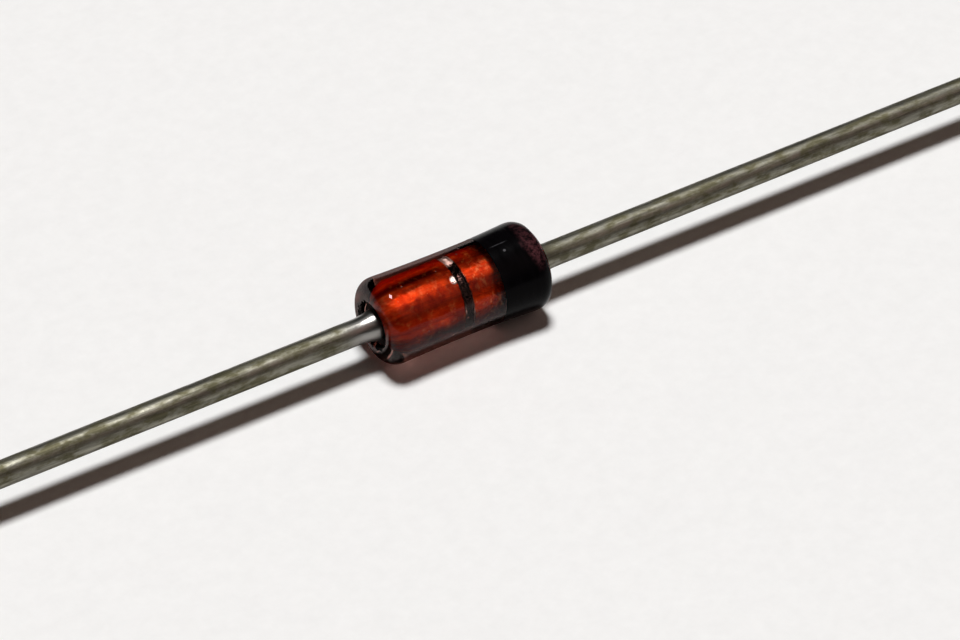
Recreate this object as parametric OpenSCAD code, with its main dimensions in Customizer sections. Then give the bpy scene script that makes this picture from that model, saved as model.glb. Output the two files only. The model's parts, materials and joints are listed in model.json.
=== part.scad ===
// Axial zener diode sealed in a glass sleeve.
// Two copper-clad slugs clamp the chip between them, and the glass is shrunk on to the slugs.
// A tinned wire is welded to the outer face of each slug, and a painted ring marks the cathode.
// The origin is the middle of the sleeve, on the axis of the leads, and +X points to the cathode.

/* [Glass sleeve] */
// Outside diameter of the sleeve at its ends
glass_d = 1.72; // [1.5:0.02:2]
// Length of the sleeve
glass_l = 3.56; // [3:0.02:4.4]
// Radius of the fire-rounded outer edge at each end
glass_edge_r = 0.3; // [0.1:0.02:0.36]
// Radius of the inner edge at each end, round the mouth of the bore
glass_mouth_r = 0.08; // [0.02:0.01:0.1]
// How far the outside of the sleeve was drawn in at its middle
glass_waist = 0.025; // [0.005:0.005:0.05]
// How far the molten glass sank into the gap between the slugs
glass_sag = 0.012; // [0.005:0.001:0.03]

/* [Slugs] */
// Diameter of each slug, to which the glass is sealed
slug_d = 0.88; // [0.8:0.02:1]
// Rounding of a slug's rims
slug_rim_r = 0.03; // [0.01:0.005:0.05]
// How far each slug's outer face lies inside the end of the glass
slug_sunk = 0.1; // [0.05:0.01:0.2]

/* [Chip] */
// Side of the square chip
chip_side = 0.4; // [0.3:0.02:0.5]
// Thickness of the chip
chip_t = 0.12; // [0.1:0.01:0.18]
// Diameter of the silver button plated on the chip
button_d = 0.24; // [0.16:0.02:0.28]
// Height of the silver button
button_h = 0.04; // [0.03:0.005:0.07]
// Rounding of the button's rim
button_rim_r = 0.025; // [0.01:0.005:0.03]

/* [Leads] */
// Diameter of the wire
lead_d = 0.5; // [0.44:0.01:0.56]
// Length of each lead, from the end of the glass to the cut tip
lead_l = 26; // [10:0.5:32]
// Rounding left on the wire's cut tip
lead_tip_r = 0.05; // [0.02:0.01:0.1]
// Diameter of the weld bead at the slug
bead_d = 0.62; // [0.58:0.02:0.76]
// Length over which the bead tapers down to the wire
bead_l = 0.5; // [0.3:0.02:0.6]
// Rounding of the bead where it meets the slug
bead_rim_r = 0.06; // [0.03:0.01:0.08]

/* [Cathode band] */
// Width of the painted ring on the straight part of the glass
band_w = 0.82; // [0.4:0.02:1]
// Thickness of the paint
band_t = 0.02; // [0.015:0.005:0.04]
// How far round the edge of the glass the paint has run, in degrees
band_wrap = 45; // [20:1:70]

/* [Hidden] */

// How far a cutting shape runs past the faces that it trims
overcut = 0.01;

glass_r = glass_d / 2;
slug_r = slug_d / 2;
lead_r = lead_d / 2;
bead_r = bead_d / 2;
glass_end = glass_l / 2;
slug_end = glass_end - slug_sunk;
lead_end = glass_end + lead_l;

// The outer and inner roundings leave a narrow flat between them on the end of the wall
end_flat = 0.02;
end_r = min(glass_edge_r, glass_r - slug_r - glass_mouth_r - end_flat);

// Where the straight part of the sleeve passes into the rounded edge
shoulder = glass_end - end_r;
shoulder_r = glass_r - end_r;

// A wide arc draws the sleeve in between two short straight lands at the shoulders
waist_land = 0.05;
waist_half = shoulder - waist_land;
waist_arc_r = (pow(waist_half, 2) + pow(glass_waist, 2)) / (2 * glass_waist);
waist_centre_r = glass_r - glass_waist + waist_arc_r;
waist_facets = 3600;

// The chip and its button together hold the slugs apart
gap = chip_t + button_h;
gap_half = gap / 2;
chip_face = gap_half - chip_t;

// An arc that rises glass_sag over the width of the gap
sag_arc_r = (pow(gap_half, 2) + pow(glass_sag, 2)) / (2 * glass_sag);

// An arc that leaves the wire along its side and rises to the rim of the bead
bead_rise = bead_r - lead_r;
flare_l = bead_l - bead_rim_r;
flare_r = (pow(flare_l, 2) + pow(bead_rise, 2)) / (2 * bead_rise);

// Long enough to reach past the paint from the centre of the edge's rounding
wrap_reach = 2 * (end_r + band_t);

$fn = 96;

// Turns a half section, drawn as radius against place along the lead, about the X axis
module turned() {
    rotate([0, 90, 0]) rotate_extrude() children();
}

// The half section of a round bar from one place along the lead to another
module bar(radius, from, to) {
    translate([0, from]) square([radius, to - from]);
}

// What a rounding of radius rim_r takes off a bar's edge; side is 1 on the edge that faces +X
module rim_cut(radius, place, rim_r, side) {
    translate([radius - rim_r, place - side * rim_r])
        difference() {
            translate([0, side > 0 ? 0 : -rim_r - overcut]) square(rim_r + overcut);
            circle(rim_r);
        }
}

// What rounds the mouth of the bore; side is 1 at the end that faces +X
module mouth_cut(side) {
    translate([slug_r + glass_mouth_r, side * (glass_end - glass_mouth_r)])
        difference() {
            translate([-glass_mouth_r - overcut, side > 0 ? 0 : -glass_mouth_r - overcut])
                square(glass_mouth_r + overcut);
            circle(glass_mouth_r);
        }
}

// Everything inside the sleeve's outer surface, or inside that surface grown by a film on it
module sleeve_outline(film) {
    difference() {
        bar(glass_r + film, -glass_end - film, glass_end + film);
        rim_cut(glass_r + film, glass_end + film, end_r + film, 1);
        rim_cut(glass_r + film, -glass_end - film, end_r + film, -1);
        translate([waist_centre_r, 0]) circle(waist_arc_r - film, $fn = waist_facets);
    }
}

// Drawn-down tube: rounded at both ends, waisted, sealed to the slugs, and sagged into their gap
module glass_sleeve() {
    color([0.80, 0.85, 0.83, 0.4])
        turned() {
            difference() {
                sleeve_outline(0);
                bar(slug_r, -glass_end - overcut, glass_end + overcut);
                mouth_cut(1);
                mouth_cut(-1);
            }
            intersection() {
                translate([slug_r + sag_arc_r - glass_sag, 0]) circle(sag_arc_r);
                bar(slug_r + overcut, -gap_half, gap_half);
            }
        }
}

// Copper-clad slug with rounded rims, drawn on the cathode side
module slug() {
    turned()
        difference() {
            bar(slug_r, gap_half, slug_end);
            rim_cut(slug_r, slug_end, slug_rim_r, 1);
            rim_cut(slug_r, gap_half, slug_rim_r, -1);
        }
}

module anode_slug() {
    color([0.72, 0.24, 0.10]) mirror([1, 0, 0]) slug();
}

module cathode_slug() {
    color([0.72, 0.24, 0.10]) slug();
}

// Square chip, bonded by its back to the cathode slug
module zener_chip() {
    color([0.24, 0.25, 0.28])
        translate([chip_face, -chip_side / 2, -chip_side / 2]) cube([chip_t, chip_side, chip_side]);
}

// Silver button on the chip's face, pressed against the anode slug
module contact_button() {
    color([0.86, 0.86, 0.84])
        turned()
            difference() {
                bar(button_d / 2, -gap_half, chip_face);
                rim_cut(button_d / 2, -gap_half, button_rim_r, -1);
            }
}

// Tinned wire with the weld bead at its root, drawn on the cathode side
module lead() {
    turned() {
        difference() {
            bar(lead_r, slug_end, lead_end);
            rim_cut(lead_r, lead_end, lead_tip_r, 1);
        }
        difference() {
            bar(bead_r, slug_end, slug_end + bead_l);
            rim_cut(bead_r, slug_end, bead_rim_r, -1);
            translate([lead_r + flare_r, slug_end + bead_l]) circle(flare_r);
        }
    }
}

module anode_lead() {
    color([0.62, 0.60, 0.55]) mirror([1, 0, 0]) lead();
}

module cathode_lead() {
    color([0.62, 0.60, 0.55]) lead();
}

// Ring of black paint, from the straight part of the glass round on to its rounded edge
module cathode_band() {
    color([0.05, 0.05, 0.06])
        turned()
            difference() {
                intersection() {
                    sleeve_outline(band_t);
                    union() {
                        bar(glass_r + 2 * band_t, shoulder - band_w, shoulder);
                        translate([shoulder_r, shoulder])
                            polygon([
                                [0, 0],
                                [wrap_reach, 0],
                                [wrap_reach * cos(band_wrap), wrap_reach * sin(band_wrap)]
                            ]);
                    }
                }
                sleeve_outline(0);
            }
}

glass_sleeve();
anode_slug();
cathode_slug();
zener_chip();
contact_button();
anode_lead();
cathode_lead();
cathode_band();
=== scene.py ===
import json
import math

import bpy
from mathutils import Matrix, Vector, noise


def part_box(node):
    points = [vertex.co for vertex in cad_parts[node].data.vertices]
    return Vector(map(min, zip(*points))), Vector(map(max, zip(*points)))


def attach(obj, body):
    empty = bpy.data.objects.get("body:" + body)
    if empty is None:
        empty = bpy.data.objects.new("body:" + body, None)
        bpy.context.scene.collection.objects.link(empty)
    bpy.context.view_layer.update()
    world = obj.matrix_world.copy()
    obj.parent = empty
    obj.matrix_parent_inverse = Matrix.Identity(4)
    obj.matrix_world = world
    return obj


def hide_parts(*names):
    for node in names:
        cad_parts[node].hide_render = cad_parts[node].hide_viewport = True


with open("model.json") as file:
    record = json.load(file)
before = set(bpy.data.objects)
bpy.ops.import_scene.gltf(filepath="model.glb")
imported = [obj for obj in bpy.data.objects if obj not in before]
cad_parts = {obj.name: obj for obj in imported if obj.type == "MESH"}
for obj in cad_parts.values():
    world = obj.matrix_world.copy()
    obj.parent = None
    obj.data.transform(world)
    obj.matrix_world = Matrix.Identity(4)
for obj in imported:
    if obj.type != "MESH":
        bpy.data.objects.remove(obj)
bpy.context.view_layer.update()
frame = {"record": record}


# Slugs. Two short studs of copper-clad wire, cut and tumbled so that their rims are round.
# The copper was oxidised before sealing, so it shows orange to brick red through the glass. Its brown
# patches below and behind are painted shade, and its dark streak on top is a painted dark reflection.
# They hold the chip, and the glass is fused to their sides.
MM = 0.001


def mm(*lengths):
    """Turns lengths in millimetres, or the parts of a place, into metres."""
    return tuple(length * MM for length in lengths)


slug_low, slug_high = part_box("cathode_slug")
slug_r = slug_high.z
slug_face = slug_low.x
slug_end = slug_high.x
slug_rim_r = 0.03 * MM

# How finely a section is drawn and turned, and how the mesh is closed and shaded
ARC_POINTS = 9
TURN_STEPS = 128
START_PLANE = 0.1 * MM
WELD_DISTANCE = 0.00002 * MM
SMOOTH_ANGLE = math.radians(35)

# Copper: its tones, the repeats of its patterns for each metre along X, Y and Z, and their depths
COPPER_DARK = (0.47, 0.026, 0.003)
COPPER_LIGHT = (1.0, 0.120, 0.018)
COPPER_BRIGHT = (0.98, 0.42, 0.16)
COPPER_GLANCE = (0.10, 0.02, 0.01)
COPPER_LINES = (900, 26000, 26000)
COPPER_MOTTLE = (5200, 5200, 5200)
COPPER_GRAIN = (13000, 13000, 13000)
COPPER_SPECKS = (8500, 8500, 8500)
COPPER_LINE_DEPTH = 0.003 * MM
COPPER_MOTTLE_DEPTH = 0.03 * MM
# The last entry of each look sets how strong the painted brown shade is
ANODE_COPPER = {"grain_depth": 0.007 * MM, "sparkle": 0.35, "shade_strength": 1.0}
CATHODE_COPPER = {"grain_depth": 0.03 * MM, "sparkle": 0.8, "shade_strength": 0.6}

# Painted shade, brown below and behind, and a painted dark reflection, one streak along the top of the
# anode slug.
# Two places are where a mark starts and is full, and four are where it also fades and stops.
PAINTED_SHADE_BROWN = (0.24, 0.012, 0.002)
PAINTED_DARK_REFLECTION = (0.070, 0.006, 0.002)
SHADE_PATCHES = (1100, 2300, 2300)
BROWN_LEAST = 0.15
BROWN_BELOW_Z = mm(0.28, 0.02)
BROWN_BEHIND_Y = mm(0.03, 0.10, 0.16, 0.24)
STREAK_X = mm(-1.25, -1.05, -0.45, -0.28)
STREAK_Y = mm(0.06, 0.10, 0.15, 0.19)
STREAK_Z = mm(0.0, 0.10)
STREAK_STRENGTH = 0.85

# Rims: bare metal at the inner face, a dark ring beside it that is painted shade in the gap, and tin on
# the outer face, darkened as painted shade in the mouth
GAP_SHADE_BLACK = (0.020, 0.008, 0.006)
BARE_METAL = (0.45, 0.44, 0.43)
SHADED_SLUG_TIN = (0.050, 0.046, 0.045)
BARE_RIM = (slug_face + 0.018 * MM, slug_face + 0.010 * MM)
GAP_SHADE_RIM = (slug_face + 0.035 * MM, slug_face + 0.02 * MM)
GAP_SHADE_RAGGED = 0.12 * MM
TINNED_END = (slug_end - 0.03 * MM, slug_end - 0.02 * MM)
BARE_ROUGHNESS = 0.25

# Spatter: one bright fleck of metal beside the gap, thicker toward the cathode
SPATTER_SILVER = (0.80, 0.95, 0.98)
SPATTER_AT = mm(-0.14, -0.150, 0.414)
SPATTER_R = 0.07 * MM
SPATTER_RISE = 0.4 * SPATTER_R
SPOT_EDGE = 0.2


def arc(centre_x, centre_r, radius, start, stop, points=ARC_POINTS):
    """Points of a half section along a round stretch; the angles are in degrees from +X."""
    angles = [math.radians(start + (stop - start) * i / (points - 1)) for i in range(points)]
    return [(centre_x + radius * math.cos(a), centre_r + radius * math.sin(a)) for a in angles]


def turn(name, half_section, steps=TURN_STEPS):
    """Draws a half section point by point, as place along the lead and radius, and spins it."""
    bpy.ops.object.select_all(action="DESELECT")
    first_x, first_r = half_section[0]
    bpy.ops.mesh.primitive_plane_add(size=START_PLANE, location=(first_x, first_r, 0))
    piece = bpy.context.object
    piece.name = name
    bpy.ops.object.transform_apply(location=True)
    bpy.ops.object.mode_set(mode="EDIT")
    bpy.ops.mesh.select_all(action="SELECT")
    bpy.ops.mesh.merge(type="CENTER")
    for (from_x, from_r), (to_x, to_r) in zip(half_section, half_section[1:]):
        step = (to_x - from_x, to_r - from_r, 0)
        bpy.ops.mesh.extrude_vertices_move(TRANSFORM_OT_translate={"value": step})
    bpy.ops.mesh.select_all(action="SELECT")
    bpy.ops.mesh.spin(steps=steps, angle=math.tau, center=(0, 0, 0), axis=(1, 0, 0))
    bpy.ops.mesh.select_all(action="SELECT")
    bpy.ops.mesh.remove_doubles(threshold=WELD_DISTANCE)
    bpy.ops.mesh.normals_make_consistent(inside=False)
    bpy.ops.object.mode_set(mode="OBJECT")
    bpy.ops.object.shade_smooth_by_angle(angle=SMOOTH_ANGLE)
    return piece


def mirror_along_lead(name, piece):
    """A copy with its own mesh, turned end for end to the anode side."""
    bpy.ops.object.select_all(action="DESELECT")
    piece.select_set(True)
    bpy.context.view_layer.objects.active = piece
    bpy.ops.object.duplicate()
    copy = bpy.context.object
    copy.name = name
    bpy.ops.object.mode_set(mode="EDIT")
    bpy.ops.mesh.select_all(action="SELECT")
    bpy.ops.transform.resize(value=(-1, 1, 1), center_override=(0, 0, 0))
    bpy.ops.mesh.normals_make_consistent(inside=False)
    bpy.ops.object.mode_set(mode="OBJECT")
    return copy


def new_finish(name):
    """A new material, with its node tree and the shader that the nodes feed."""
    material = bpy.data.materials.new(name)
    material.use_nodes = True
    return material, material.node_tree, material.node_tree.nodes["Principled BSDF"]


def feed(tree, socket, value):
    """Links another node's socket to this one, or sets a plain value on it."""
    if isinstance(value, bpy.types.NodeSocket):
        tree.links.new(value, socket)
    else:
        socket.default_value = value


def add_node(tree, kind, **inputs):
    """Adds a node; an input's name has _ for a space, and takes a value or another node's socket."""
    node = tree.nodes.new(kind)
    for key, value in inputs.items():
        feed(tree, node.inputs[key.replace("_", " ")], value)
    return node


def object_place(tree):
    """The place of a point on the piece, in the part's own frame."""
    return add_node(tree, "ShaderNodeTexCoord").outputs["Object"]


def pattern(tree, scale, kind="ShaderNodeTexNoise", output="Fac", **inputs):
    """A texture on Object coordinates; scale is its repeats for each metre along X, Y and Z."""
    mapped = add_node(tree, "ShaderNodeMapping", Vector=object_place(tree), Scale=scale)
    return add_node(tree, kind, Vector=mapped.outputs["Vector"], Scale=1.0, **inputs).outputs[output]


def rgba(colour):
    """A solid colour, from a tuple or from one level of grey."""
    return (*colour, 1) if isinstance(colour, tuple) else (colour, colour, colour, 1)


def ramp(tree, factor, *stops):
    """A colour ramp from stops, each a place and a colour or a grey."""
    node = add_node(tree, "ShaderNodeValToRGB", Fac=factor)
    elements = node.color_ramp.elements
    while len(elements) < len(stops):
        elements.new(0.5)
    for element, (place, colour) in zip(elements, stops):
        element.position = place
        element.color = rgba(colour)
    return node.outputs["Color"]


def blend(tree, factor, under, over, how="MIX"):
    """Lays a colour, a grey or a socket's colour over another by a factor."""
    node = tree.nodes.new("ShaderNodeMix")
    node.data_type = "RGBA"
    node.blend_type = how
    feed(tree, node.inputs["Factor"], factor)
    for socket, value in ((node.inputs["A"], under), (node.inputs["B"], over)):
        feed(tree, socket, value if isinstance(value, bpy.types.NodeSocket) else rgba(value))
    return node.outputs["Result"]


def bump(tree, height, depth, strength=1.0, under=None):
    """A bump of that depth in metres, laid over another bump if one is given."""
    node = add_node(tree, "ShaderNodeBump", Height=height, Distance=depth, Strength=strength)
    if under is not None:
        tree.links.new(under, node.inputs["Normal"])
    return node.outputs["Normal"]


def maths(tree, operation, *values):
    """One step of arithmetic on sockets or plain numbers."""
    node = tree.nodes.new("ShaderNodeMath")
    node.operation = operation
    for socket, value in zip(node.inputs, values):
        feed(tree, socket, value)
    return node.outputs["Value"]


def product(tree, first, *others):
    """Masks multiplied together, so that they show only where they all lie."""
    result = first
    for mask in others:
        result = maths(tree, "MULTIPLY", result, mask)
    return result


def ragged_by(tree, texture, width):
    """A length that follows a texture to both sides of zero, to make an edge uneven."""
    return maths(tree, "MULTIPLY", maths(tree, "SUBTRACT", texture, 0.5), width)


def fade(tree, value, start, stop):
    """Goes from 0 to 1 while a value goes from start to stop, and holds beyond them."""
    spread = add_node(tree, "ShaderNodeMapRange", Value=value, From_Min=start, From_Max=stop)
    return spread.outputs["Result"]


def along(tree, axis):
    """How far a point lies along the X, Y or Z axis."""
    return add_node(tree, "ShaderNodeSeparateXYZ", Vector=object_place(tree)).outputs[axis]


def place_mask(tree, axis, start, stop):
    """A mask that goes from 0 to 1 between two places along an axis."""
    return fade(tree, along(tree, axis), start, stop)


def stripe(tree, axis, start, full, fading, stop):
    """A mask that rises from 0 to 1 along an axis, holds, and falls to 0 again."""
    return product(tree, place_mask(tree, axis, start, full), place_mask(tree, axis, stop, fading))


def from_middle(tree, start, stop, ragged=0.0):
    """A mask that goes from 0 to 1 between two distances from the middle, either way along the lead."""
    away = maths(tree, "ADD", maths(tree, "ABSOLUTE", along(tree, "X")), ragged)
    return fade(tree, away, start, stop)


def spot(tree, centre, radius):
    """A round mask, whose edge fades over SPOT_EDGE of its radius to both sides."""
    away = tree.nodes.new("ShaderNodeVectorMath")
    away.operation = "DISTANCE"
    feed(tree, away.inputs[0], object_place(tree))
    feed(tree, away.inputs[1], centre)
    return fade(tree, away.outputs["Value"], radius * (1 + SPOT_EDGE), radius * (1 - SPOT_EDGE))


def with_painted_shade(tree, tone, shade_strength):
    """Copper's tone under patches of painted brown shade and a streak of painted dark reflection."""
    patch = pattern(tree, SHADE_PATCHES, Detail=3.0, Roughness=0.55)
    below = place_mask(tree, "Z", *BROWN_BELOW_Z)
    behind = stripe(tree, "Y", *BROWN_BEHIND_Y)
    patchy = ramp(tree, patch, (0.42, shade_strength), (0.58, BROWN_LEAST))
    brown = product(tree, maths(tree, "MAXIMUM", below, behind), patchy)
    length = stripe(tree, "X", *STREAK_X)
    width = stripe(tree, "Y", *STREAK_Y)
    streak = product(tree, length, width, place_mask(tree, "Z", *STREAK_Z), STREAK_STRENGTH)
    return blend(tree, streak, blend(tree, brown, tone, PAINTED_SHADE_BROWN), PAINTED_DARK_REFLECTION)


def copper_finish(name, grain_depth, sparkle, shade_strength):
    """Oxidised copper, lined along the draw, with its rims, its sparkle and the spatter."""
    material, tree, skin = new_finish(name)
    drawn = pattern(tree, COPPER_LINES, Detail=3.0, Roughness=0.6)
    mottle = pattern(tree, COPPER_MOTTLE, Detail=5.0, Roughness=0.65)
    grain = pattern(tree, COPPER_GRAIN, Detail=3.0, Roughness=0.6)
    specks = pattern(tree, COPPER_SPECKS, Detail=4.0, Roughness=0.6)

    tone = ramp(tree, mottle, (0.30, COPPER_DARK), (0.68, COPPER_LIGHT))
    lines = ramp(tree, drawn, (0.35, 0.72), (0.65, 1.0))
    # Painted shade below and behind, and a painted dark reflection along the top, laid over the tone
    clad = blend(tree, 1.0, with_painted_shade(tree, tone, shade_strength), lines, "MULTIPLY")
    # A dark ragged ring beside the inner face is painted shade in the gap
    gap_shade_ring = from_middle(tree, *GAP_SHADE_RIM, ragged_by(tree, mottle, GAP_SHADE_RAGGED))
    gap_shaded = blend(tree, gap_shade_ring, clad, GAP_SHADE_BLACK)
    bare_rim = from_middle(tree, *BARE_RIM)
    edged = blend(tree, bare_rim, gap_shaded, BARE_METAL)
    sparkles = ramp(tree, specks, (0.54, 0.0), (0.76, sparkle))
    sparkling = blend(tree, sparkles, edged, COPPER_BRIGHT)
    spatter = spot(tree, SPATTER_AT, SPATTER_R)
    flecked = blend(tree, spatter, sparkling, SPATTER_SILVER)
    # The outer face's tin is much darker than the leads' tin, as painted shade in the mouth
    tinned = blend(tree, from_middle(tree, *TINNED_END), flecked, SHADED_SLUG_TIN)
    feed(tree, skin.inputs["Base Color"], tinned)
    skin.inputs["Metallic"].default_value = 1.0
    skin.inputs["Specular Tint"].default_value = rgba(COPPER_GLANCE)

    satin = ramp(tree, mottle, (0.3, 0.34), (0.7, 0.42))
    shiny = maths(tree, "MAXIMUM", bare_rim, spatter)
    feed(tree, skin.inputs["Roughness"], blend(tree, shiny, satin, BARE_ROUGHNESS))

    lined = bump(tree, drawn, COPPER_LINE_DEPTH, 0.4)
    grained = bump(tree, grain, grain_depth, 0.6, lined)
    slope = place_mask(tree, "X", SPATTER_AT[0] - SPATTER_R, SPATTER_AT[0] + SPATTER_R)
    leaning = bump(tree, product(tree, slope, spatter), SPATTER_RISE, 1.0, grained)
    feed(tree, skin.inputs["Normal"], bump(tree, mottle, COPPER_MOTTLE_DEPTH, 0.3, leaning))
    return material


slug_section = (
    [(slug_face, 0)]
    + arc(slug_face + slug_rim_r, slug_r - slug_rim_r, slug_rim_r, 180, 90)
    + arc(slug_end - slug_rim_r, slug_r - slug_rim_r, slug_rim_r, 90, 0)
    + [(slug_end, 0)]
)
cathode_slug = turn("cathode_slug_copper", slug_section)
anode_slug = mirror_along_lead("anode_slug_copper", cathode_slug)
for slug, node_name, look in (
    (cathode_slug, "cathode_slug", CATHODE_COPPER),
    (anode_slug, "anode_slug", ANODE_COPPER),
):
    slug.data.materials.append(copper_finish("oxide_red_copper_" + node_name, **look))
    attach(slug, "root")
    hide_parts(node_name)


# Leads. Soft wire of copper-clad steel, butt welded to the outer face of each slug and hot tinned.
# The weld left a smooth bead that runs out into the wire. The tin is dull, streaked along the draw
# and pitted, but still bright round the anode's bead.
_, lead_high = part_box("cathode_lead")
lead_r = frame["record"]["mounts"][0]["dims"]["r_mm"] * MM
lead_end = lead_high.x
lead_tip_r = 0.05 * MM
bead_r = lead_high.z
bead_l = 0.5 * MM
bead_rim_r = 0.06 * MM
wire_start = slug_end + bead_l
wire_stop = lead_end - lead_tip_r
LEAD_STEPS = 96
LEAD_RINGS = 150
FLARE_POINTS = 13

TIN_OLIVE = (0.145, 0.134, 0.082)
TIN_GREY = (0.275, 0.264, 0.215)
TIN_BRIGHT = (0.29, 0.28, 0.265)
TIN_STREAKS = (700, 15000, 15000)
TIN_BLOTCHES = (2600, 5200, 5200)
TIN_PITS = (14000, 26000, 26000)
TIN_STREAK_DEPTH = 0.006 * MM
TIN_BLOTCH_DEPTH = 0.012 * MM
TIN_PIT_DEPTH = 0.004 * MM
BRIGHT_RUN = (wire_start + 0.4 * MM, wire_start - 0.1 * MM)
BRIGHT_ROUGHNESS = 0.31
BRIGHT_ON_CATHODE = 0.1


def tin_finish():
    """Dull tin, from grey to olive, with a bright run at the anode's bead."""
    material, tree, skin = new_finish("tinned_wire")
    streak = pattern(tree, TIN_STREAKS, Detail=4.0, Roughness=0.6)
    blotch = pattern(tree, TIN_BLOTCHES, Detail=5.0, Roughness=0.6)
    pits = pattern(tree, TIN_PITS, Detail=2.0)

    tone = ramp(tree, blotch, (0.40, TIN_OLIVE), (0.60, TIN_GREY))
    lines = ramp(tree, streak, (0.36, 0.55), (0.62, 1.0))
    drawn = blend(tree, 1.0, tone, lines, "MULTIPLY")
    anode_side = place_mask(tree, "X", slug_face, -slug_face)
    by_end = ramp(tree, anode_side, (0.0, BRIGHT_ON_CATHODE), (1.0, 1.0))
    melted = product(tree, from_middle(tree, *BRIGHT_RUN), by_end)
    feed(tree, skin.inputs["Base Color"], blend(tree, melted, drawn, TIN_BRIGHT))
    skin.inputs["Metallic"].default_value = 1.0
    dull = ramp(tree, blotch, (0.40, 0.60), (0.60, 0.42))
    feed(tree, skin.inputs["Roughness"], blend(tree, melted, dull, BRIGHT_ROUGHNESS))

    lined = bump(tree, streak, TIN_STREAK_DEPTH, 0.6)
    pitted = bump(tree, pits, TIN_PIT_DEPTH, 0.5, lined)
    feed(tree, skin.inputs["Normal"], bump(tree, blotch, TIN_BLOTCH_DEPTH, 0.5, pitted))
    return material


bead_rise = bead_r - lead_r
flare_l = bead_l - bead_rim_r
flare_r = (flare_l ** 2 + bead_rise ** 2) / (2 * bead_rise)
flare_turn = math.degrees(math.asin(flare_l / flare_r))
wire_run = [
    (wire_start + (wire_stop - wire_start) * i / LEAD_RINGS, lead_r) for i in range(1, LEAD_RINGS)
]
lead_section = (
    [(slug_end, 0)]
    + arc(slug_end + bead_rim_r, bead_r - bead_rim_r, bead_rim_r, 180, 90)
    + arc(wire_start, lead_r + flare_r, flare_r, 270 - flare_turn, 270, FLARE_POINTS)[1:]
    + wire_run
    + arc(wire_stop, lead_r - lead_tip_r, lead_tip_r, 90, 0)
    + [(lead_end, 0)]
)
cathode_lead = turn("cathode_lead_wire", lead_section, LEAD_STEPS)
anode_lead = mirror_along_lead("anode_lead_wire", cathode_lead)
tin = tin_finish()
for lead, node_name in ((cathode_lead, "cathode_lead"), (anode_lead, "anode_lead")):
    lead.data.materials.append(tin)
    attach(lead, "root")
    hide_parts(node_name)


# Chip. A square of silicon sawn from its wafer, bonded by its back to the cathode slug.
# Its sawn edges are a little broken, which a small bevel stands for.
chip_low, chip_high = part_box("zener_chip")
chip_edge = 0.008 * MM
CHIP_EDGE_STEPS = 2
SILICON_TONES = ((0.05, 0.052, 0.06), (0.13, 0.135, 0.15))
SILICON_ROUGHNESS = (0.25, 0.5)
SILICON_METALLIC = 0.6
SAW_MARKS = (9000, 60000, 60000)
SAW_DEPTH = 0.003 * MM


def grained_finish(name, scale, tones, roughness, metallic, depth):
    """A finish whose tone, roughness and relief all follow one grain, each from low to high."""
    material, tree, skin = new_finish(name)
    grain = pattern(tree, scale, Detail=3.0)
    feed(tree, skin.inputs["Base Color"], ramp(tree, grain, (0.3, tones[0]), (0.7, tones[1])))
    skin.inputs["Metallic"].default_value = metallic
    feed(tree, skin.inputs["Roughness"], ramp(tree, grain, (0.3, roughness[0]), (0.7, roughness[1])))
    feed(tree, skin.inputs["Normal"], bump(tree, grain, depth, 0.5))
    return material


bpy.ops.object.select_all(action="DESELECT")
bpy.ops.mesh.primitive_cube_add(size=1, location=(chip_low + chip_high) / 2)
chip = bpy.context.object
chip.name = "zener_chip_silicon"
chip.scale = chip_high - chip_low
bpy.ops.object.transform_apply(location=True, scale=True)
bpy.ops.object.mode_set(mode="EDIT")
bpy.ops.mesh.select_all(action="SELECT")
bpy.ops.mesh.bevel(offset=chip_edge, segments=CHIP_EDGE_STEPS)
bpy.ops.object.mode_set(mode="OBJECT")
bpy.ops.object.shade_smooth_by_angle(angle=SMOOTH_ANGLE)
silicon = grained_finish(
    "silicon", SAW_MARKS, SILICON_TONES, SILICON_ROUGHNESS, SILICON_METALLIC, SAW_DEPTH
)
chip.data.materials.append(silicon)
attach(chip, "root")
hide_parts("zener_chip")


# Contact button. A dome of silver plated on the chip's face, pressed flat against the anode slug
# when the glass was shrunk.
button_low, button_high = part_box("contact_button")
button_r = button_high.z
button_rim_r = 0.025 * MM
BUTTON_STEPS = 64
SILVER_TONES = ((0.62, 0.61, 0.58), (0.86, 0.86, 0.84))
SILVER_ROUGHNESS = (0.25, 0.4)
SILVER_METALLIC = 1.0
SILVER_GRAIN = (40000, 40000, 40000)
SILVER_DEPTH = 0.003 * MM

button_section = (
    [(button_low.x, 0)]
    + arc(button_low.x + button_rim_r, button_r - button_rim_r, button_rim_r, 180, 90)
    + [(button_high.x, button_r), (button_high.x, 0)]
)
button = turn("contact_button_silver", button_section, BUTTON_STEPS)
silver = grained_finish(
    "silver", SILVER_GRAIN, SILVER_TONES, SILVER_ROUGHNESS, SILVER_METALLIC, SILVER_DEPTH
)
button.data.materials.append(silver)
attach(button, "root")
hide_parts("contact_button")


# Glass sleeve. A tube of clear lead glass, softened and shrunk on to the slugs in the sealing oven.
# Its ends are fire rounded, it is drawn in at the waist, and it sagged a little into the gap. A dark
# film on its inner skin in the gap and the mouths is painted shade, with pale residue at the top of the
# gap.
_, sleeve_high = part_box("glass_sleeve")
glass_r = sleeve_high.z
glass_end = sleeve_high.x
glass_end_r = 0.3 * MM
glass_sag = 0.012 * MM
glass_waist = 0.025 * MM
waist_land = 0.05 * MM
mouth_r = 0.08 * MM
EDGE_POINTS = 17
WAIST_POINTS = 25
SAG_POINTS = 13

# The glass wets the slugs with no air between, so its bore lies a hair inside their sides
seal_depth = 0.004 * MM
bore_r = slug_r - seal_depth

GLASS_TINT = (1.0, 0.66, 0.58)
GLASS_SMOKE = (0.82, 0.77, 0.76)
GLASS_GLANCE = 0.3
GLASS_IOR = 1.56
GLASS_WAVES = (2400, 3600, 3600)
GLASS_WAVE_DEPTH = 0.01 * MM
GLASS_SEEDS = (4200, 4200, 4200)
GLASS_SEED_DEPTH = 0.02 * MM

# A dark film of painted shade on the inner skin in the gap and the mouths, black in its lower half
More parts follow.
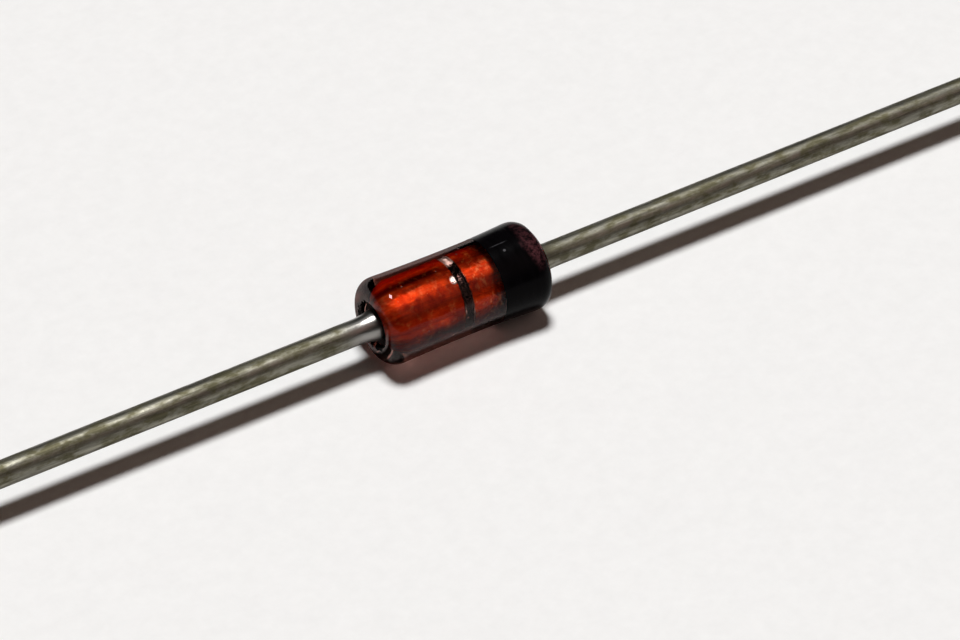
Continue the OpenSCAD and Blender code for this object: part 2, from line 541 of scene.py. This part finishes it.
SHADE_FILM_DARK = (0.008, 0.006, 0.006)
SHADE_FILM_LIGHT = (0.07, 0.06, 0.06)
SHADE_FILM_BLACK = 0.004
SHADE_FILM_BLACK_Z = mm(0.10, -0.10)
SHADE_FILM_GLANCE = 0.05
SHADE_FILM_SPECULAR = 0.05
SHADE_FILM_METALLIC = 0.8
SHADE_FILM_GRAIN = (18000, 18000, 18000)
SHADE_FILM_GRAIN_DEPTH = 0.012 * MM
SHADE_FILM_IN_GAP = (slug_face + 0.02 * MM, slug_face + 0.01 * MM)
SHADE_FILM_IN_MOUTH = 0.6
SHADE_FILM_PATCHES = 9000

# The residue is a tilted crust, whose bump rises toward the back and a little toward the cathode
RESIDUE = (0.90, 1.0, 1.0)
RESIDUE_ROUGHNESS = 0.33
RESIDUE_Y = mm(0.11, 0.21)
RESIDUE_Z = mm(0.06, 0.16)
CRUST_Y = mm(0.05, 0.44)
CRUST_HEIGHT = 0.46 * MM
CRUST_TILT = 0.06


def glass_finish():
    """Clear glass with a smoky skin, faint waves and a few seeds."""
    material, tree, skin = new_finish("clear_glass")
    skin.inputs["Base Color"].default_value = rgba(GLASS_TINT)
    skin.inputs["Roughness"].default_value = 0.0
    skin.inputs["Specular Tint"].default_value = rgba(GLASS_GLANCE)
    skin.inputs["IOR"].default_value = GLASS_IOR
    skin.inputs["Coat Weight"].default_value = 1.0
    skin.inputs["Coat IOR"].default_value = 1.0
    skin.inputs["Coat Roughness"].default_value = 0.0
    skin.inputs["Coat Tint"].default_value = rgba(GLASS_SMOKE)
    skin.inputs["Transmission Weight"].default_value = 1.0

    waves = pattern(tree, GLASS_WAVES, Detail=2.0)
    dots = pattern(tree, GLASS_SEEDS, "ShaderNodeTexVoronoi", "Distance")
    seeds = ramp(tree, dots, (0.03, 1.0), (0.10, 0.0))
    wavy = bump(tree, waves, GLASS_WAVE_DEPTH, 0.3)
    feed(tree, skin.inputs["Normal"], bump(tree, seeds, GLASS_SEED_DEPTH, 1.0, wavy))
    return material


def shade_film_finish():
    """Dark grainy film of painted shade, black in its lower half, under the crust of residue in the
    gap.
    """
    material, tree, skin = new_finish("painted_shade_film")
    grain = pattern(tree, SHADE_FILM_GRAIN, Detail=3.0)
    in_gap = from_middle(tree, *SHADE_FILM_IN_GAP)
    behind = maths(tree, "ADD", place_mask(tree, "Y", *RESIDUE_Y), grain)
    flaky = ramp(tree, behind, (0.85, 0.0), (1.0, 1.0))
    chalky = product(tree, in_gap, place_mask(tree, "Z", *RESIDUE_Z), flaky)

    dark = ramp(tree, grain, (0.35, SHADE_FILM_DARK), (0.7, SHADE_FILM_LIGHT))
    blackened = blend(tree, place_mask(tree, "Z", *SHADE_FILM_BLACK_Z), dark, SHADE_FILM_BLACK)
    feed(tree, skin.inputs["Base Color"], blend(tree, chalky, blackened, RESIDUE))
    feed(tree, skin.inputs["Metallic"], ramp(tree, chalky, (0.0, SHADE_FILM_METALLIC), (1.0, 1.0)))
    skin.inputs["Specular Tint"].default_value = rgba(SHADE_FILM_GLANCE)
    skin.inputs["Specular IOR Level"].default_value = SHADE_FILM_SPECULAR
    glossy = ramp(tree, grain, (0.3, 0.14), (0.7, 0.35))
    feed(tree, skin.inputs["Roughness"], blend(tree, chalky, glossy, RESIDUE_ROUGHNESS))

    grained = bump(tree, grain, SHADE_FILM_GRAIN_DEPTH, 0.6)
    rise = maths(tree, "POWER", place_mask(tree, "Y", *CRUST_Y), 2.0)
    tilt = product(tree, place_mask(tree, "X", -slug_face, slug_face), CRUST_TILT)
    crust = maths(tree, "ADD", rise, tilt)
    feed(tree, skin.inputs["Normal"], bump(tree, crust, CRUST_HEIGHT, 1.0, grained))
    return material


def in_shade_film(place):
    """True where the dark film of painted shade goes: the inner skin of the glass in the gap, and an
    uneven ring in each mouth.
    """
    radius = math.hypot(place.y, place.z)
    if abs(place.x) < slug_face:
        return radius < slug_r
    uneven = noise.noise(place * SHADE_FILM_PATCHES)
    return abs(place.x) > slug_end and radius < bore_r + (SHADE_FILM_IN_MOUTH + uneven) * mouth_r


sag_r = (slug_face ** 2 + glass_sag ** 2) / (2 * glass_sag)
sag_turn = math.degrees(math.asin(slug_face / sag_r))
corner_x = glass_end - glass_end_r
corner_r = glass_r - glass_end_r
waist_half = corner_x - waist_land
waist_r = (waist_half ** 2 + glass_waist ** 2) / (2 * glass_waist)
waist_turn = math.degrees(math.asin(waist_half / waist_r))
waist_centre = glass_r - glass_waist + waist_r
glass_section = (
    [(-slug_end, bore_r)]
    + arc(-glass_end + mouth_r, bore_r + mouth_r, mouth_r, 270, 180)
    + arc(-corner_x, corner_r, glass_end_r, 180, 90, EDGE_POINTS)
    + arc(0, waist_centre, waist_r, 270 - waist_turn, 270 + waist_turn, WAIST_POINTS)
    + arc(corner_x, corner_r, glass_end_r, 90, 0, EDGE_POINTS)
    + arc(glass_end - mouth_r, bore_r + mouth_r, mouth_r, 0, -90)
    + [(slug_end, bore_r)]
    + arc(0, bore_r - glass_sag + sag_r, sag_r, 270 + sag_turn, 270 - sag_turn, SAG_POINTS)
    + [(-slug_end, bore_r)]
)
sleeve = turn("glass_sleeve_clear", glass_section)
shade_film = shade_film_finish()
sleeve.data.materials.append(glass_finish())
sleeve.data.materials.append(shade_film)
# The faces in the gap and the mouths take the dark film of painted shade
bpy.ops.object.mode_set(mode="EDIT")
bpy.ops.mesh.select_mode(type="FACE")
bpy.ops.mesh.select_all(action="DESELECT")
bpy.ops.object.mode_set(mode="OBJECT")
for face in sleeve.data.polygons:
    face.select = in_shade_film(face.center)
bpy.ops.object.mode_set(mode="EDIT")
sleeve.active_material_index = sleeve.data.materials.find(shade_film.name)
bpy.ops.object.material_slot_assign()
bpy.ops.mesh.select_mode(type="VERT")
bpy.ops.object.mode_set(mode="OBJECT")
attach(sleeve, "root")
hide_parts("glass_sleeve")


# Cathode band. A ring of black marking paint rolled round the glass at the cathode end and baked.
# The film ran toward the end of the glass, so it thins out toward the middle. It is rubbed brown on
# its rounded edge, fading to black below as painted shade, and has one thin pale grey line and one pale
# grey dot on top.
band_low, band_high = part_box("cathode_band")
band_from = band_low.x
band_t = band_high.z - glass_r
band_wrap = math.degrees(math.asin((band_high.x - corner_x) / (glass_end_r + band_t)))
FILM_POINTS = 11

# The share of its thickness that the film starts with, and how far short its top ends, in degrees
film_start = 0.2
film_lip = 8

# The paint wets the glass, so its inner side lies a hair inside it
film_sink = 0.002 * MM

PAINT_DARK = (0.0012, 0.001, 0.0012)
PAINT_LIGHT = (0.0025, 0.002, 0.0025)
PAINT_SPECULAR = 0.03
PAINT_DRAG = (9000, 3000, 3000)
PAINT_DRAG_DEPTH = 0.003 * MM
PAINT_SPECKLE = (11000, 11000, 11000)

# Brown rubbed into the rounded edge, with painted shade where it fades out below
PAINT_BROWN = (0.074, 0.024, 0.028)
RUBBED_FROM = (corner_x - 0.05 * MM, corner_x + 0.09 * MM)
RUBBED_RAGGED = 0.3 * MM
RUBBED_WIDER = 0.16 * MM
RUBBED_WIDER_Z = mm(0.40, 0.80)
RUBBED_ABOVE_SHADE_Z = mm(0.42, 0.70)
RUBBED_Y = mm(0.05, -0.30)
RUBBED_BEHIND = 0.35

# A thin pale grey line along the top of the band
PAINT_GREY_LINE = (0.045, 0.044, 0.048)
GREY_LINE_X = mm(0.72, 0.82, 1.02, 1.14)
GREY_LINE_Y = mm(-0.100, -0.085, -0.080, -0.065)
GREY_LINE_Z = mm(0.0, 0.10)
# A pale grey dot on top of the band
PALE_DOT = (0.085, 0.082, 0.088)
PALE_DOT_AT = mm(0.962, -0.262, 0.830)
PALE_DOT_R = 0.03 * MM


def rubbed_brown(tree, drag, speckle):
    """Where the rounded edge is rubbed, wider at the top, fainter at the back and speckled; its fading
    out below is painted shade.
    """
    wider = product(tree, place_mask(tree, "Z", *RUBBED_WIDER_Z), RUBBED_WIDER)
    uneven = maths(tree, "ADD", ragged_by(tree, drag, RUBBED_RAGGED), wider)
    on_edge = from_middle(tree, *RUBBED_FROM, uneven)
    front = ramp(tree, place_mask(tree, "Y", *RUBBED_Y), (0.0, RUBBED_BEHIND), (1.0, 1.0))
    speckled = ramp(tree, speckle, (0.42, 0.08), (0.62, 1.0))
    return product(tree, front, place_mask(tree, "Z", *RUBBED_ABOVE_SHADE_Z), on_edge, speckled)


def grey_line(tree, speckle):
    """A thin broken line along the top of the band."""
    length = stripe(tree, "X", *GREY_LINE_X)
    width = stripe(tree, "Y", *GREY_LINE_Y)
    broken = ramp(tree, speckle, (0.40, 0.2), (0.60, 1.0))
    return product(tree, length, width, place_mask(tree, "Z", *GREY_LINE_Z), broken)


def paint_finish():
    """Black paint, dragged round the glass, with its rubbed edge, a pale grey line and a pale grey dot.
    """
    material, tree, skin = new_finish("black_paint")
    drag = pattern(tree, PAINT_DRAG, Detail=4.0)
    speckle = pattern(tree, PAINT_SPECKLE, Detail=4.0, Roughness=0.7)
    tone = ramp(tree, drag, (0.3, PAINT_DARK), (0.75, PAINT_LIGHT))
    worn = blend(tree, rubbed_brown(tree, drag, speckle), tone, PAINT_BROWN)
    grey_lined = blend(tree, grey_line(tree, speckle), worn, PAINT_GREY_LINE)
    dotted = blend(tree, spot(tree, PALE_DOT_AT, PALE_DOT_R), grey_lined, PALE_DOT)
    feed(tree, skin.inputs["Base Color"], dotted)
    skin.inputs["Specular IOR Level"].default_value = PAINT_SPECULAR
    feed(tree, skin.inputs["Roughness"], ramp(tree, drag, (0.3, 0.16), (0.7, 0.26)))
    feed(tree, skin.inputs["Normal"], bump(tree, drag, PAINT_DRAG_DEPTH, 0.3))
    return material


start_turn = math.degrees(math.asin(band_from / waist_r))
film_on_waist = arc(0, waist_centre, waist_r, 270 + start_turn, 270 + waist_turn, FILM_POINTS)
film_top = [
    (x, radius + band_t * (film_start + (1 - film_start) * i / (FILM_POINTS - 1)))
    for i, (x, radius) in enumerate(film_on_waist)
]
band_section = (
    film_top
    + arc(corner_x, corner_r, glass_end_r + band_t, 90, 90 - band_wrap + film_lip)
    + arc(corner_x, corner_r, glass_end_r - film_sink, 90 - band_wrap, 90)
    + arc(0, waist_centre, waist_r + film_sink, 270 + waist_turn, 270 + start_turn)
)
band_section.append(band_section[0])
band = turn("cathode_band_paint", band_section)
band.data.materials.append(paint_finish())
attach(band, "root")
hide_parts("cathode_band")


# Paper. The diode lies on a sheet of plain white paper with a faint tooth.
# The sheet is so wide that it runs out to the horizon.
paper_z = band_low.z
PAPER_SIZE = 4.0
PAPER_DARK = (0.84, 0.84, 0.83)
PAPER_LIGHT = (0.88, 0.88, 0.87)
PAPER_ROUGHNESS = 0.9
PAPER_SPECULAR = 0.2
PAPER_FIBRE = (3000, 3000, 3000)
PAPER_FIBRE_DEPTH = 0.02 * MM


def paper_finish():
    """Matt white paper with a faint tooth."""
    material, tree, skin = new_finish("white_paper")
    fibre = pattern(tree, PAPER_FIBRE, Detail=6.0, Roughness=0.7)
    feed(tree, skin.inputs["Base Color"], ramp(tree, fibre, (0.3, PAPER_DARK), (0.7, PAPER_LIGHT)))
    skin.inputs["Roughness"].default_value = PAPER_ROUGHNESS
    skin.inputs["Specular IOR Level"].default_value = PAPER_SPECULAR
    feed(tree, skin.inputs["Normal"], bump(tree, fibre, PAPER_FIBRE_DEPTH, 0.18))
    return material


bpy.ops.object.select_all(action="DESELECT")
bpy.ops.mesh.primitive_plane_add(size=PAPER_SIZE, location=(0, 0, paper_z))
paper = bpy.context.object
paper.name = "paper"
bpy.ops.object.transform_apply(location=True)
paper.data.materials.append(paper_finish())


# Light. One lamp stands almost straight above, small enough to throw a clear shadow.
# The rest of the room is dim, with a soft warm glow high in front, toward the cathode's end.
# A pale band runs round it along the horizon.
LAMP_STRENGTH = 3.15
LAMP_WIDTH = math.radians(14.5)
LAMP_LEAN = math.radians(5.5)
LAMP_SIDE = math.radians(2.5)
LAMP_HEIGHT = 0.3
ROOM_DUSK = (0.004, 0.003, 0.0028)

# The glow fades by the cosine of the angle from its middle, and the horizon by the sine of height
GLOW = (0.46, 0.30, 0.26)
GLOW_FROM = (0.395, -0.54, 0.743)
GLOW_EDGE = 0.87
GLOW_FULL = 0.98
HORIZON_GREY = 0.8
HORIZON_FULL = 0.03
HORIZON_TOP = 0.06

bpy.ops.object.light_add(
    type="SUN", location=(0, 0, LAMP_HEIGHT), rotation=(-LAMP_LEAN, LAMP_SIDE, 0)
)
lamp = bpy.context.object
lamp.data.energy = LAMP_STRENGTH
lamp.data.angle = LAMP_WIDTH

world = bpy.data.worlds.new("room")
bpy.context.scene.world = world
world.use_nodes = True
room = world.node_tree
sky = room.nodes["Background"]
direction = add_node(room, "ShaderNodeTexCoord").outputs["Generated"]
height = add_node(room, "ShaderNodeSeparateXYZ", Vector=direction).outputs["Z"]
toward_glow = room.nodes.new("ShaderNodeVectorMath")
toward_glow.operation = "DOT_PRODUCT"
feed(room, toward_glow.inputs[0], direction)
feed(room, toward_glow.inputs[1], GLOW_FROM)
walls = ramp(room, height, (0.0, HORIZON_GREY), (HORIZON_FULL, HORIZON_GREY), (HORIZON_TOP, 0.0))
ceiling = ramp(room, toward_glow.outputs["Value"], (GLOW_EDGE, ROOM_DUSK), (GLOW_FULL, GLOW))
feed(room, sky.inputs["Color"], blend(room, 1.0, walls, ceiling, "ADD"))
sky.inputs["Strength"].default_value = 1.0


# Camera. It looks down on the diode from its anode side, as the photograph does.
# Its place is worked out from where the middle of the body lies in the photograph.
PHOTO_SIZE = (960, 640)
BODY_PIXEL = (453.5, 293.2)
PIXELS_PER_MM = 53.2
VIEW_AZIMUTH = math.radians(-31.6)
VIEW_ELEVATION = math.radians(41)
VIEW_DISTANCE = 90 * MM
SENSOR_WIDTH = 36.0
CLIP_START = 1 * MM
CLIP_END = 10.0

back = Vector((
    math.sin(VIEW_AZIMUTH) * math.cos(VIEW_ELEVATION),
    -math.cos(VIEW_AZIMUTH) * math.cos(VIEW_ELEVATION),
    math.sin(VIEW_ELEVATION),
))
facing = (-back).to_track_quat("-Z", "Y")
right = facing @ Vector((1, 0, 0))
up = facing @ Vector((0, 1, 0))
pixel = MM / PIXELS_PER_MM
aim = right * (PHOTO_SIZE[0] / 2 - BODY_PIXEL[0]) * pixel
aim -= up * (PHOTO_SIZE[1] / 2 - BODY_PIXEL[1]) * pixel
bpy.ops.object.camera_add(location=aim + back * VIEW_DISTANCE)
camera = bpy.context.object
camera.rotation_mode = "QUATERNION"
camera.rotation_quaternion = facing
camera.data.sensor_width = SENSOR_WIDTH
camera.data.lens = SENSOR_WIDTH * VIEW_DISTANCE / (PHOTO_SIZE[0] * pixel)
camera.data.clip_start = CLIP_START
camera.data.clip_end = CLIP_END
bpy.context.scene.camera = camera
bpy.context.scene.view_settings.view_transform = "Standard"
